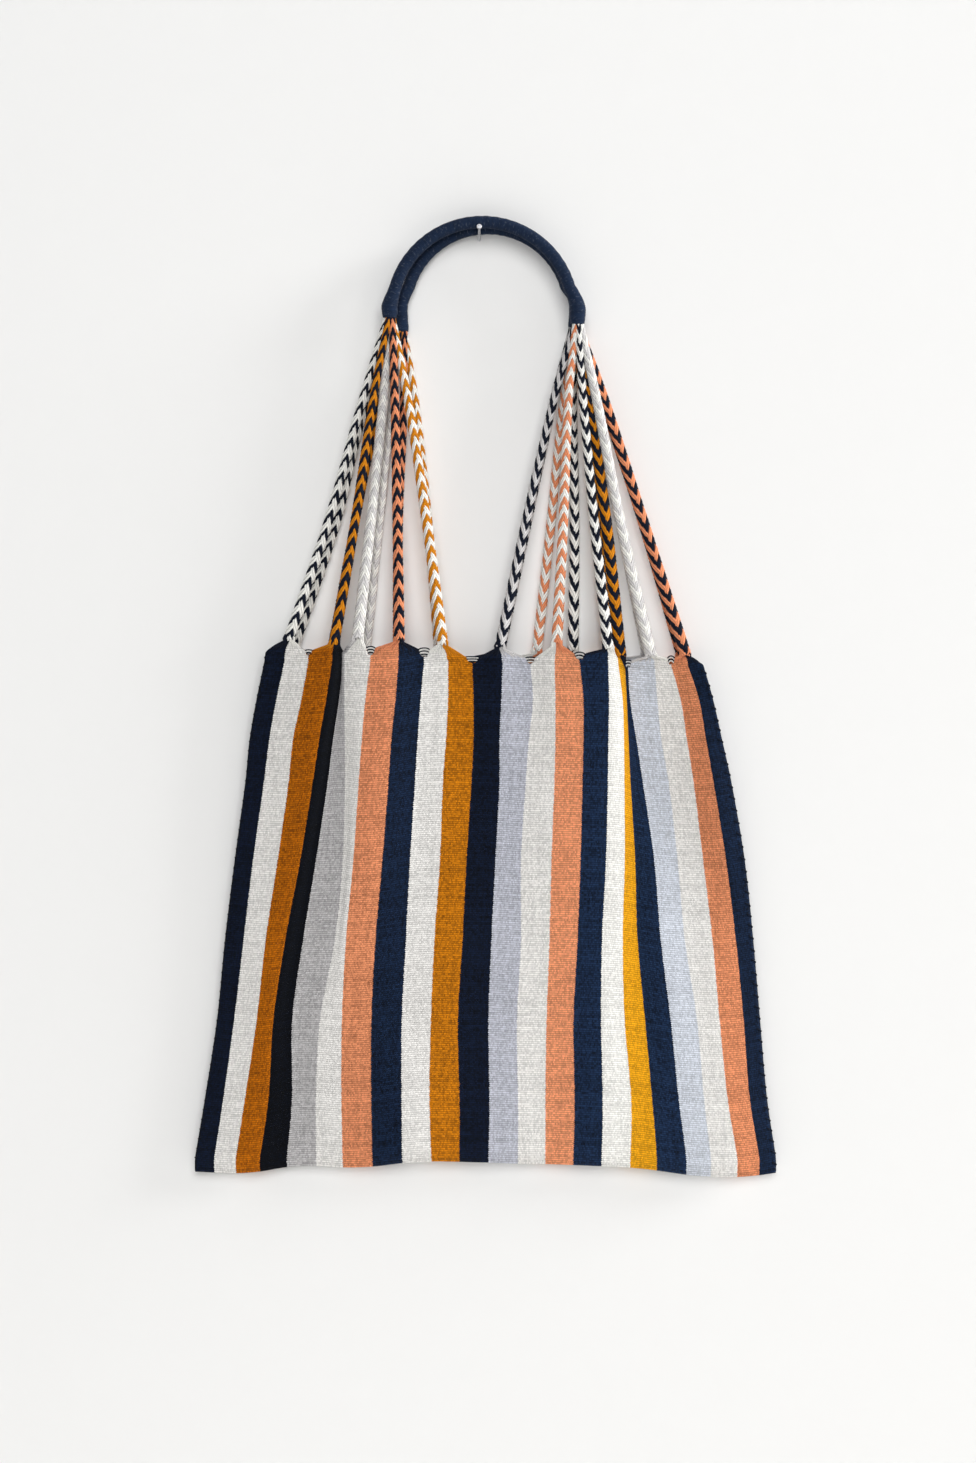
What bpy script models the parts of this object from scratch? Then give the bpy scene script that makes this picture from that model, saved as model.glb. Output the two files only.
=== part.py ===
# Hammock bag on a nail: a flat striped pouch of woven cloth, its warp ends braided up to two wrapped handles.
# The origin is the centre of the nail's flat end, in the plane of the wall. +X runs to the viewer's right,
# +Y runs into the wall and +Z is up. Sizes are in millimetres, and depths are measured from the wall
# towards the viewer.
import math
from collections import namedtuple

import bmesh
import bpy

MM = 0.001
# Pieces that touch keep this gap.
GAP = 0.3

# The nail, which slopes up from the wall to its head.
NAIL_RADIUS = 1.0
NAIL_LENGTH = 24.0
NAIL_SLOPE = math.radians(11.0)
NAIL_HEAD_RADIUS = 2.0
NAIL_HEAD_THICKNESS = 0.9
NAIL_HEAD_EDGE = 0.3
NAIL_TAIL = 3.0
NAIL_SEGMENTS = 20

# The two wrapped handles. Each is an arc over the nail with a short leg at either end, which swells to a knob
# before the braids come out of it. A leg is its x, the height of its knob and the height of its end.
HANDLE_RADIUS = 4.7
HANDLE_END_RADIUS = 5.2
HANDLE_ARC_POINTS = 22
ARC_END_ANGLE = math.radians(16.6)
SHOULDER_RISE = 7.5
SHOULDER_INSET = 2.2
Handle = namedtuple("Handle", "name depth middle top arc_radius knob_radius left right")
Leg = namedtuple("Leg", "x knob end")
HANDLES = (
    Handle("front", 16.3, 2.3, 9.4, 67.2, 6.0, Leg(-66.4, -52.6, -62.3), Leg(72.9, -54.0, -67.4)),
    Handle("back", 5.4, 6.2, 7.5, 61.5, 4.6, Leg(-57.9, -50.0, -70.4), Leg(71.5, -49.5, -67.0)),
)

# The braids. Each leaves a slot in a handle's end, passes two marked heights and meets a peak of the cloth.
# A braid's layer says how far in front of its neighbours (1) or behind them (-1) it hangs at the high mark.
# The dip is how far the cloth's edge falls between this braid and the next.
BRAIDS_IN_LEFT_END = 5
SLOT_RING_RADIUS = 3.2
HIGH_MARK = -125.0
MIDDLE_MARK = -213.0
HIGH_SHARE = 0.25
MIDDLE_SHARE = 0.62
MIDDLE_LAYER_SHARE = 0.3
PLAIT_PITCH = 7.6
PLAIT_RELIEF = 0.14
# Radii at the slot, at the high mark, at the middle mark and at the foot.
Plaiting = namedtuple("Plaiting", "radii layer_depth")
FRONT_PLAITING = Plaiting((1.3, 3.6, 4.2, 3.9), 3.2)
BACK_PLAITING = Plaiting((1.3, 3.2, 3.9, 3.7), 1.2)
Braid = namedtuple("Braid", "slot_angle layer high_x middle_x foot_x foot_z foot_depth dip")
FRONT_BRAIDS = (
    Braid(180, -0.5, -87.4, -111.9, -140.9, -299.6, 17.5, 11.0),
    Braid(108, 1.0, -78.8, -91.8, -106.8, -302.6, 23.0, 8.5),
    Braid(252, -1.0, -71.4, -80.3, -89.8, -299.2, 23.5, 12.5),
    Braid(36, 1.0, -62.5, -60.6, -59.1, -300.4, 22.0, 12.0),
    Braid(324, 0.0, -52.5, -39.1, -27.2, -302.6, 19.5, 14.0),
    Braid(180, 0.0, 54.8, 34.7, 15.4, -305.2, 18.5, 14.5),
    Braid(130, 1.0, 65.9, 62.2, 57.5, -302.6, 20.5, 11.0),
    Braid(80, 1.0, 77.0, 85.6, 94.9, -306.6, 27.0, 5.0),
    Braid(235, -1.0, 82.2, 92.3, 104.6, -311.8, 14.0, 9.0),
    Braid(25, 1.0, 87.4, 104.5, 127.3, -311.8, 18.5, 7.5),
    Braid(300, -0.6, 94.1, 121.9, 152.7, -311.1, 14.5, 11.0),
)
BACK_BRAIDS = (
    Braid(180, -0.5, -84.7, -107.1, -134.1, -303.2, 5.1, 10.0),
    Braid(108, 0.6, -74.6, -92.9, -109.4, -304.7, 5.1, 9.0),
    Braid(252, -0.6, -65.2, -75.0, -84.7, -305.4, 5.1, 9.0),
    Braid(36, 0.6, -56.6, -60.5, -60.8, -305.4, 5.1, 10.0),
    Braid(324, -0.6, -47.6, -38.3, -30.1, -306.2, 5.1, 11.0),
    Braid(180, -0.6, 54.6, 35.6, 15.5, -307.7, 5.1, 11.0),
    Braid(120, 0.6, 62.2, 53.6, 43.2, -308.4, 5.1, 9.0),
    Braid(240, -0.6, 70.0, 71.1, 70.1, -307.7, 5.1, 9.0),
    Braid(60, 0.6, 77.4, 87.6, 96.0, -309.2, 5.1, 8.0),
    Braid(300, -0.6, 85.0, 103.0, 120.2, -310.7, 5.1, 9.0),
    Braid(0, 0.0, 92.6, 120.2, 147.0, -311.4, 5.1, 9.0),
)

# The pouch. Its front panel is set out by lines down the cloth, counted in stripes from the left seam: the x
# and the depth of the cloth at four heights, and the height of the bottom fold there.
STRIPES = 22
CLOTH = 1.6
BACK_DEPTH = 3.2
BACK_RIPPLE = 0.6
RIPPLE_TURN_A_STRIPE = 1.7
RIPPLE_HEIGHT = 60.0
SECTION_HEIGHTS = (-316.0, -405.0, -523.0, -686.0)
Line = namedtuple("Line", "stripe x depth fold_z")
FRONT_LINES = (
    Line(0, (-159.0, -173.2, -188.8, -211.3), (9.0, 9.0, 9.0, 8.0), -696.0),
    Line(1, (-144.3, -159.6, -174.9, -197.4), (15.0, 14.0, 13.0, 12.0), -697.0),
    Line(3, (-108.4, -122.7, -143.7, -163.3), (23.0, 20.0, 17.0, 14.0), -696.0),
    Line(4, (-99.6, -112.3, -130.8, -143.3), (9.5, 10.0, 11.5, 13.0), -693.0),
    Line(5, (-99.8, -99.3, -106.9, -121.3), (23.0, 20.5, 18.0, 14.0), -692.0),
    Line(6, (-80.2, -88.9, -98.7, -101.5), (24.0, 21.5, 18.0, 15.0), -693.0),
    Line(9, (-23.1, -26.9, -33.2, -35.5), (19.0, 17.0, 15.5, 14.0), -688.0),
    Line(12, (37.7, 34.7, 31.0, 28.8), (18.0, 16.5, 15.0, 14.0), -690.0),
    Line(14, (74.1, 76.5, 72.9, 70.0), (23.0, 20.0, 17.0, 15.0), -691.0),
    Line(15, (94.9, 95.1, 90.9, 90.8), (27.0, 24.0, 20.0, 16.0), -691.5),
    Line(16, (102.1, 107.3, 106.3, 112.3), (19.0, 18.5, 17.5, 15.5), -693.0),
    Line(17, (107.7, 112.1, 117.6, 132.1), (13.0, 13.0, 14.0, 14.5), -695.0),
    Line(18, (112.0, 121.5, 134.7, 154.0), (12.0, 12.0, 14.0, 14.5), -698.0),
    Line(19, (130.3, 140.8, 152.7, 172.2), (18.5, 17.0, 16.0, 15.0), -699.5),
    Line(21, (153.7, 173.4, 190.6, 208.5), (14.0, 13.5, 13.0, 12.5), -699.0),
    Line(22, (164.6, 186.2, 203.4, 220.7), (9.0, 9.0, 9.0, 8.0), -697.0),
)

# The top edge. Each pair of stripes rises from a dip to a peak under its braid, over five columns of points:
# where a column stands in its pair, how far it has risen, and how far it is drawn towards the braid.
Column = namedtuple("Column", "place rise drawn")
PAIR_COLUMNS = (
    Column(0.0, 0.0, 0.0),
    Column(0.22, 0.35, 0.5),
    Column(0.42, 1.0, 1.0),
    Column(0.58, 1.0, 1.0),
    Column(0.78, 0.35, 0.5),
)
PEAK_HALF_WIDTH = 3.4
GATHER_POWER = 1.5

# The rows of points down the cloth: shares of the way from the top edge to the height where the gathers end,
# then heights, then shares of the way to the bottom fold with how far the panels have closed together.
GATHER_END = -345.0
TOP_ROWS = (0.0, 0.22, 0.55, 1.0)
BODY_ROWS = (-385.0, -430.0, -480.0, -540.0, -600.0, -655.0)
FOLD_START = -655.0
FOOT_ROWS = ((0.55, 0.08), (0.88, 0.45), (1.0, 1.0))
FOLD_DEPTH_SHARE = 0.45


def clear_scene():
    for item in list(bpy.data.objects):
        bpy.data.objects.remove(item, do_unlink=True)


def make_material(name, colour, roughness, metallic=0.0):
    material = bpy.data.materials.new(name)
    material.use_nodes = True
    shader = material.node_tree.nodes["Principled BSDF"]
    shader.inputs["Base Color"].default_value = (*colour, 1.0)
    shader.inputs["Roughness"].default_value = roughness
    shader.inputs["Metallic"].default_value = metallic
    material.diffuse_color = (*colour, 1.0)
    return material


def make_object(name, data, collection, material):
    item = bpy.data.objects.new(name, data)
    item.data.materials.append(material)
    collection.objects.link(item)
    return item


def smooth_value(stations, values, at):
    """A smooth curve through one value at each station, read at any place between the first and the last."""
    at = min(max(at, stations[0]), stations[-1])
    last = len(stations) - 1
    k = max(i for i in range(last) if stations[i] <= at)
    slopes = []
    for i in (k, k + 1):
        before, after = max(i - 1, 0), min(i + 1, last)
        slopes.append((values[after] - values[before]) / (stations[after] - stations[before]))
    span = stations[k + 1] - stations[k]
    t = (at - stations[k]) / span
    return (
        values[k] * (1 + 2 * t) * (1 - t) ** 2
        + values[k + 1] * t * t * (3 - 2 * t)
        + span * slopes[0] * t * (1 - t) ** 2
        - span * slopes[1] * t * t * (1 - t)
    )


def blend(start, end, t):
    return start + (end - start) * t


def build_nail(collection, material):
    """The shank and head are one turned profile, laid along the nail's slope and cut flat at the wall."""
    profile = (
        (0.0, NAIL_LENGTH),
        (NAIL_HEAD_RADIUS - NAIL_HEAD_EDGE, NAIL_LENGTH),
        (NAIL_HEAD_RADIUS, NAIL_LENGTH - NAIL_HEAD_EDGE),
        (NAIL_HEAD_RADIUS, NAIL_LENGTH - NAIL_HEAD_THICKNESS),
        (NAIL_RADIUS, NAIL_LENGTH - NAIL_HEAD_THICKNESS),
        (NAIL_RADIUS, -NAIL_TAIL),
        (0.0, -NAIL_TAIL),
    )
    mesh = bpy.data.meshes.new("nail")
    points = [(r * MM, 0.0, z * MM) for r, z in profile]
    mesh.from_pydata(points, [(i, i + 1) for i in range(len(points) - 1)], [])
    nail = make_object("nail", mesh, collection, material)
    turn = nail.modifiers.new("turn", "SCREW")
    turn.steps = NAIL_SEGMENTS
    turn.render_steps = NAIL_SEGMENTS
    turn.use_merge_vertices = True
    turn.merge_threshold = 0.00001
    nail.rotation_euler = (math.pi / 2 - NAIL_SLOPE, 0.0, 0.0)

    cutters = bpy.data.collections.new("cutters")
    bpy.context.scene.collection.children.link(cutters)
    cut_size = NAIL_LENGTH * MM
    bpy.ops.mesh.primitive_cube_add(size=cut_size, location=(0.0, cut_size / 2, 0.0))
    wall_cut = bpy.context.active_object
    wall_cut.name = "wall_cut"
    for old in list(wall_cut.users_collection):
        old.objects.unlink(wall_cut)
    cutters.objects.link(wall_cut)
    wall_cut.hide_render = True
    wall_cut.display_type = "WIRE"
    cut = nail.modifiers.new("cut at the wall", "BOOLEAN")
    cut.operation = "DIFFERENCE"
    cut.object = wall_cut


def leg_points(leg, side, knob_radius):
    """Points (x, z, radius) up one leg of a handle: its end, its knob, and its shoulder below the arc."""
    return [
        (leg.x, leg.end, HANDLE_END_RADIUS),
        (leg.x, blend(leg.end, leg.knob, 0.4), blend(HANDLE_END_RADIUS, knob_radius, 0.75)),
        (leg.x, leg.knob, knob_radius),
        (leg.x - side * SHOULDER_INSET, leg.knob + SHOULDER_RISE, blend(knob_radius, HANDLE_RADIUS, 0.65)),
    ]


def handle_route(handle):
    """Points (x, z, radius) along a handle, from its left end over the nail to its right end."""
    centre = handle.top - handle.arc_radius
    arc = []
    for i in range(HANDLE_ARC_POINTS + 1):
        angle = blend(math.pi - ARC_END_ANGLE, ARC_END_ANGLE, i / HANDLE_ARC_POINTS)
        x = handle.middle + handle.arc_radius * math.cos(angle)
        arc.append((x, centre + handle.arc_radius * math.sin(angle), HANDLE_RADIUS))
    left = leg_points(handle.left, -1, handle.knob_radius)
    right = leg_points(handle.right, 1, handle.knob_radius)
    return left + arc + right[::-1]


def build_handle(handle, collection, material):
    name = f"handle_{handle.name}"
    route = handle_route(handle)
    curve = bpy.data.curves.new(name, "CURVE")
    curve.dimensions = "3D"
    curve.bevel_depth = MM
    curve.bevel_resolution = 3
    curve.use_fill_caps = True
    spline = curve.splines.new("POLY")
    spline.points.add(len(route) - 1)
    for point, (x, z, radius) in zip(spline.points, route):
        point.co = (x * MM, -handle.depth * MM, z * MM, 1.0)
        point.radius = radius
    make_object(name, curve, collection, material)


def braid_route(braid, leg, handle_depth, plaiting, steps):
    """Points (x, depth, z, radius) down a braid, from its slot in the leg's end to its foot on the cloth."""
    angle = math.radians(braid.slot_angle)
    slot_x = leg.x + SLOT_RING_RADIUS * math.cos(angle)
    slot_depth = handle_depth + SLOT_RING_RADIUS * math.sin(angle)
    top = leg.end - GAP
    stations = (0.0, top - HIGH_MARK, top - MIDDLE_MARK, top - braid.foot_z - GAP)
    forward = plaiting.layer_depth * braid.layer
    high_depth = blend(handle_depth, braid.foot_depth, HIGH_SHARE) + forward
    middle_depth = blend(handle_depth, braid.foot_depth, MIDDLE_SHARE) + forward * MIDDLE_LAYER_SHARE
    across = (slot_x, braid.high_x, braid.middle_x, braid.foot_x)
    deep = (slot_depth, high_depth, middle_depth, braid.foot_depth)
    points = []
    for i in range(steps + 1):
        down = stations[-1] * i / steps
        x = smooth_value(stations, across, down)
        depth = smooth_value(stations, deep, down)
        points.append((x, depth, top - down, smooth_value(stations, plaiting.radii, down)))
    return points


def build_braid(name, route, collection, material):
    """A four-cornered loft. Front and back corners stand out on one ring, the two sides on the next."""
    mesh = bmesh.new()
    rings = []
    for i, (x, depth, z, radius) in enumerate(route):
        swing = PLAIT_RELIEF if i % 2 else -PLAIT_RELIEF
        side = radius * (1 + swing)
        face = radius * (1 - swing)
        corners = ((x + side, depth), (x, depth + face), (x - side, depth), (x, depth - face))
        rings.append([mesh.verts.new((cx * MM, -cd * MM, z * MM)) for cx, cd in corners])
    for upper, lower in zip(rings, rings[1:]):
        for k in range(4):
            mesh.faces.new((upper[k - 1], upper[k], lower[k], lower[k - 1]))
    mesh.faces.new(rings[0][::-1])
    mesh.faces.new(rings[-1])
    bmesh.ops.recalc_face_normals(mesh, faces=mesh.faces)
    data = bpy.data.meshes.new(name)
    mesh.to_mesh(data)
    mesh.free()
    make_object(name, data, collection, material)


def line_value(values, stripe):
    """One value for each line of the front panel, read at any stripe count."""
    return smooth_value([line.stripe for line in FRONT_LINES], values, stripe)


def front_surface(stripe, z):
    """The front panel's mid-surface (x, depth) at a stripe count and a height."""
    down = [-height for height in SECTION_HEIGHTS]
    x = line_value([smooth_value(down, line.x, -z) for line in FRONT_LINES], stripe)
    depth = line_value([smooth_value(down, line.depth, -z) for line in FRONT_LINES], stripe)
    return x, depth


def back_surface(stripe, z):
    """The back panel hangs nearly flat against the wall, as wide as the front's outline."""
    left = front_surface(0, z)[0]
    right = front_surface(STRIPES, z)[0]
    ripple = BACK_RIPPLE * math.sin(stripe * RIPPLE_TURN_A_STRIPE + z / RIPPLE_HEIGHT)
    return blend(left, right, stripe / STRIPES), BACK_DEPTH + ripple


def dip_height(braids, pair):
    """The height of the dip before a pair of stripes, and after the last pair."""
    before = max(pair - 1, 0)
    after = min(pair, len(braids) - 1)
    return blend(braids[before].foot_z, braids[after].foot_z, 0.5) - braids[before].dip


def edge_height(braids, pair, column):
    """The height of the top edge at a column of a pair."""
    if pair == len(braids):
        return dip_height(braids, pair)
    low = dip_height(braids, pair + (column.place > 0.5))
    return blend(low, braids[pair].foot_z, column.rise)


def panel_point(surface, braids, pair, column, z, share):
    """A point (x, depth) of a panel. Near the top edge it is drawn from its dip towards its braid's foot."""
    x, depth = surface(2 * (pair + column.place), z)
    if column.drawn and share < 1.0:
        braid = braids[pair]
        side = 1 if column.place > 0.5 else -1
        dip_x, dip_depth = surface(2 * (pair + (side > 0)), z)
        pull = (1.0 - share) ** GATHER_POWER
        x = blend(x, blend(dip_x, braid.foot_x + side * PEAK_HALF_WIDTH, column.drawn), pull)
        depth = blend(depth, blend(dip_depth, braid.foot_depth, column.drawn), pull)
    return x, depth


def add_row(mesh, columns, front_heights, back_heights, share=1.0, closing=0.0):
    """One row of points round the pouch. The panels share the seams' points, and all of a closed row's."""
    front = []
    back = []
    for k, (pair, column) in enumerate(columns):
        fx, fd = panel_point(front_surface, FRONT_BRAIDS, pair, column, front_heights[k], share)
        bx, bd = panel_point(back_surface, BACK_BRAIDS, pair, column, back_heights[k], share)
        fold_depth = blend(fd, bd, FOLD_DEPTH_SHARE)
        fd = blend(fd, fold_depth, closing)
        bd = blend(bd, fold_depth, closing)
        bx = blend(bx, fx, closing)
        front.append(mesh.verts.new((fx * MM, -fd * MM, front_heights[k] * MM)))
        if k in (0, len(columns) - 1) or closing == 1.0:
            back.append(front[-1])
        else:
            back.append(mesh.verts.new((bx * MM, -bd * MM, back_heights[k] * MM)))
    return front, back


def build_cloth(collection, material):
    """One open sheet, front and back panels meeting at the side seams and the bottom fold, made thick."""
    pairs = STRIPES // 2
    columns = [(pair, column) for pair in range(pairs) for column in PAIR_COLUMNS]
    columns.append((pairs, PAIR_COLUMNS[0]))
    mesh = bmesh.new()
    rows = []
    front_edge = [edge_height(FRONT_BRAIDS, *column) for column in columns]
    back_edge = [edge_height(BACK_BRAIDS, *column) for column in columns]
    for share in TOP_ROWS:
        front_heights = [blend(z, GATHER_END, share) for z in front_edge]
        back_heights = [blend(z, GATHER_END, share) for z in back_edge]
        rows.append(add_row(mesh, columns, front_heights, back_heights, share))
    for z in BODY_ROWS:
        level = [z] * len(columns)
        rows.append(add_row(mesh, columns, level, level))
    folds = [line_value([line.fold_z for line in FRONT_LINES], 2 * (p + c.place)) for p, c in columns]
    for share, closing in FOOT_ROWS:
        heights = [blend(FOLD_START, z, share) for z in folds]
        rows.append(add_row(mesh, columns, heights, heights, closing=closing))
    for (front, back), (front_below, back_below) in zip(rows, rows[1:]):
        for k in range(len(columns) - 1):
            mesh.faces.new((front[k], front_below[k], front_below[k + 1], front[k + 1]))
            mesh.faces.new((back[k + 1], back_below[k + 1], back_below[k], back[k]))
    data = bpy.data.meshes.new("bag_cloth")
    mesh.to_mesh(data)
    mesh.free()
    cloth = make_object("bag_cloth", data, collection, material)
    thicken = cloth.modifiers.new("cloth thickness", "SOLIDIFY")
    thicken.thickness = CLOTH * MM
    thicken.offset = 0.0
    thicken.use_even_offset = True


def main():
    clear_scene()
    collection = bpy.data.collections.new("hammock_bag")
    bpy.context.scene.collection.children.link(collection)
    steel = make_material("zinc_steel", (0.60, 0.60, 0.61), 0.35, 1.0)
    navy_yarn = make_material("navy_yarn", (0.012, 0.022, 0.048), 0.9)
    striped_cloth = make_material("striped_cotton", (0.45, 0.33, 0.24), 0.9)
    plait_yarn = make_material("plaited_cotton", (0.42, 0.34, 0.27), 0.9)

    build_nail(collection, steel)
    panels = ((FRONT_BRAIDS, FRONT_PLAITING), (BACK_BRAIDS, BACK_PLAITING))
    for handle, (braids, plaiting) in zip(HANDLES, panels):
        build_handle(handle, collection, navy_yarn)
        for number, braid in enumerate(braids, 1):
            leg = handle.left if number <= BRAIDS_IN_LEFT_END else handle.right
            steps = round((leg.end - braid.foot_z) / PLAIT_PITCH)
            route = braid_route(braid, leg, handle.depth, plaiting, steps)
            build_braid(f"braid_{handle.name}_{number:02d}", route, collection, plait_yarn)
    build_cloth(collection, striped_cloth)


main()
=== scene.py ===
import math
import random
from collections import namedtuple

import bpy
import numpy as np
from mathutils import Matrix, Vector, noise


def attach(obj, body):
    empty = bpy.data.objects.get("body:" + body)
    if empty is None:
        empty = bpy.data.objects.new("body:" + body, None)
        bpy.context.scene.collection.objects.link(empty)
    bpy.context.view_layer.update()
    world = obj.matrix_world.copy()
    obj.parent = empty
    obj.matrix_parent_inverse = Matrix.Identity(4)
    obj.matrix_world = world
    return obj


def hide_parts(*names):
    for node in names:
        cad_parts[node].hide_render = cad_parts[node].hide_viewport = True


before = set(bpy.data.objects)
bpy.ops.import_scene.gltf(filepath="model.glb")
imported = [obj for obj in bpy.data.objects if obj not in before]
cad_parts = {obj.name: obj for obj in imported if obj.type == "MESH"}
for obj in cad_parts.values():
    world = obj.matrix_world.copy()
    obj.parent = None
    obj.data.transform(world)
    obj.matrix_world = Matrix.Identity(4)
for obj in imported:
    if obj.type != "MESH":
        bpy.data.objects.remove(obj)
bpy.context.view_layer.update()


# The cloth is one length of dense cotton, folded at the foot and joined up both sides. Its warp makes the
# stripes, and is packed so close that the weft inside shows only as fine ribs.
# Above each pair of stripes the edge rises to a peak, where the warp yarns leave the weave for their braid.
MM = 0.001
STRIPES = 22
PAIRS = STRIPES // 2
CLOTH_THICKNESS = 1.3
EDGE_HEIGHTS = (-316, -345, -375, -405, -464, -523, -583, -642, -687)
DEPTH_HEIGHTS = (-316, -405, -523, -686)
# The line before each stripe, and after the last: its x at the edge heights, its depth at the depth heights
# and the height of the fold under it.
StripeEdge = namedtuple("StripeEdge", "x depth fold")
STRIPE_EDGES = (
    StripeEdge((-159.0, -165.0, -170.2, -173.2, -181.4, -188.8, -194.8, -203.8, -211.3), (14, 13, 10, 10), -696),
    StripeEdge((-144.3, -150.6, -155.8, -159.6, -167.8, -174.9, -182.1, -190.3, -197.4), (14, 14, 13.5, 11), -697),
    StripeEdge((-126.3, -131.6, -137.9, -141.0, -149.3, -158.3, -165.1, -174.1, -181.2), (19, 17.5, 16.5, 13), -697.5),
    StripeEdge((-108.4, -112.9, -118.1, -122.7, -132.4, -143.7, -152.7, -156.5, -163.3), (24, 23, 19, 14.5), -696),
    StripeEdge((-101.2, -104.2, -108.6, -112.3, -121.2, -130.8, -139.0, -139.3, -143.3), (17.5, 17.5, 14, 11), -693),
    StripeEdge((-99.5, -99.6, -99.3, -99.3, -100.9, -106.9, -118.1, -121.2, -121.3), (19, 18.5, 17, 13), -692),
    StripeEdge((-80.2, -84.0, -86.6, -88.9, -93.1, -98.7, -101.8, -102.2, -101.5), (24.5, 22.5, 18.5, 14.5), -693),
    StripeEdge((-59.6, -61.9, -64.9, -67.1, -71.7, -76.9, -79.9, -80.0, -79.3), (23.5, 22, 18.5, 16.5), -692),
    StripeEdge((-40.8, -43.5, -45.7, -47.6, -51.3, -54.3, -57.3, -57.4, -57.0), (20, 17, 17.5, 20), -689),
    StripeEdge((-23.1, -23.1, -24.6, -26.9, -29.1, -33.2, -35.8, -36.9, -35.5), (17.5, 16, 17.5, 19), -688),
    StripeEdge((-5.3, -4.2, -4.2, -5.7, -9.4, -12.4, -15.8, -14.7, -14.7), (18, 15.5, 18, 17), -688.5),
    StripeEdge((17.3, 16.5, 15.1, 15.1, 12.1, 9.1, 6.9, 7.6, 6.9), (17.5, 16, 15.5, 16.5), -689),
    StripeEdge((37.7, 39.9, 36.9, 34.7, 31.0, 31.0, 28.1, 28.8, 28.8), (17.5, 17.5, 16, 15.5), -690),
    StripeEdge((55.8, 56.5, 56.5, 55.8, 53.6, 52.2, 50.0, 49.2, 49.2), (20.5, 19, 16.5, 14), -690.5),
    StripeEdge((74.1, 77.1, 77.2, 76.5, 75.1, 72.9, 70.0, 70.8, 70.0), (23, 21, 17.5, 15.5), -691),
    StripeEdge((95.0, 95.8, 95.4, 95.1, 93.8, 90.9, 90.3, 91.5, 90.8), (24.5, 21.5, 19, 19), -691.5),
    StripeEdge((102.1, 105.8, 106.9, 107.3, 107.7, 106.3, 107.8, 112.7, 112.3), (19.5, 18, 16.5, 15.5), -693),
    StripeEdge((107.7, 109.2, 110.6, 112.1, 115.8, 117.6, 123.2, 128.4, 132.1), (12, 13, 13.5, 16), -695),
    StripeEdge((110.5, 112.2, 117.0, 121.5, 130.0, 134.7, 142.1, 148.1, 154.0), (12.5, 11.5, 16, 17), -698),
    StripeEdge((130.3, 132.5, 135.6, 140.8, 147.5, 152.7, 161.7, 166.9, 172.2), (13, 11, 13.5, 16.5), -699.5),
    StripeEdge((141.5, 149.7, 154.6, 159.4, 166.5, 173.3, 178.5, 184.5, 191.9), (16, 13, 13.5, 15.5), -700),
    StripeEdge((153.7, 163.0, 168.2, 173.4, 183.1, 190.6, 196.6, 201.1, 208.5), (16.5, 19, 12.5, 12), -699),
    StripeEdge((164.6, 172.8, 179.5, 186.2, 196.7, 203.4, 208.6, 213.9, 220.7), (19, 17, 10.5, 9), -697),
)
# The foot of each braid, where the warp of its pair of stripes is gathered, and how far the cloth's edge
# falls in the dip after it. Over the gathered level a peak is a neck, as narrow as its braid.
GATHERED_LEVEL = 0.8
Foot = namedtuple("Foot", "x z depth dip")
FRONT_FEET = (
    Foot(-140.9, -299.6, 17.5, 11.0),
    Foot(-106.8, -302.6, 23.0, 8.5),
    Foot(-89.8, -299.2, 23.5, 12.5),
    Foot(-59.1, -300.4, 22.0, 12.0),
    Foot(-27.2, -302.6, 19.5, 14.0),
    Foot(15.4, -305.2, 18.5, 14.5),
    Foot(57.5, -302.6, 20.5, 11.0),
    Foot(94.9, -306.6, 27.0, 5.0),
    Foot(104.6, -311.8, 15.5, 9.0),
    Foot(127.3, -311.8, 17.0, 7.5),
    Foot(152.7, -311.1, 17.0, 11.0),
)
BACK_FEET = (
    Foot(-137.6, -303.2, 5.1, 10.0),
    Foot(-109.4, -304.7, 5.1, 9.0),
    Foot(-84.7, -305.4, 5.1, 9.0),
    Foot(-60.8, -305.4, 5.1, 10.0),
    Foot(-30.1, -306.2, 5.1, 11.0),
    Foot(15.5, -307.7, 5.1, 11.0),
    Foot(43.2, -308.4, 5.1, 9.0),
    Foot(70.1, -307.7, 5.1, 9.0),
    Foot(96.0, -309.2, 5.1, 8.0),
    Foot(125.0, -310.7, 5.1, 9.0),
    Foot(150.5, -311.4, 5.1, 9.0),
)
# A dip is a narrow slot between two peaks, with sloping shoulders over it: the slot's width and height, how
# full the shoulders are, and the bare weft in it, by its highest turn, count of turns and arch as a share of
# its width. The first and last are the outer shoulders. Two dips are closed by folds.
Dip = namedtuple("Dip", "width rise fullness top turns arch")
FRONT_DIPS = (
    Dip(0.0, 0.1, 1.7, 0.0, 0, 0.0),
    Dip(5.4, 3.6, 1.1, 3.4, 3, 0.12),
    Dip(0.0, 0.1, 1.1, 0.0, 0, 0.0),
    Dip(6.2, 5.2, 1.05, 5.2, 5, 0.20),
    Dip(7.4, 5.6, 1.05, 5.6, 5, 0.16),
    Dip(9.0, 4.6, 1.0, 4.6, 5, 0.02),
    Dip(6.6, 4.4, 1.05, 4.4, 4, 0.08),
    Dip(7.2, 4.4, 1.1, 4.2, 4, 0.20),
    Dip(0.0, 0.1, 1.1, 0.0, 0, 0.0),
    Dip(4.6, 4.6, 1.1, 4.4, 4, 0.18),
    Dip(5.4, 4.6, 1.2, 4.2, 4, 0.42),
    Dip(0.0, 0.1, 1.8, 0.0, 0, 0.0),
)
BACK_DIP = Dip(5.6, 4.5, 1.1, 4.4, 4, 0.12)
BACK_DIPS = (FRONT_DIPS[0], *[BACK_DIP] * (PAIRS - 1), FRONT_DIPS[-1])
PEAK_HALF_WIDTH = 3.4
PEAK_BULGE = 1.2
BACK_DEPTH = 3.2
BACK_RIPPLE = 0.6
RIPPLE_TURN_A_STRIPE = 1.7
RIPPLE_HEIGHT = 60.0
SEAM_CURL_STRIPES = 1.6
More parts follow.
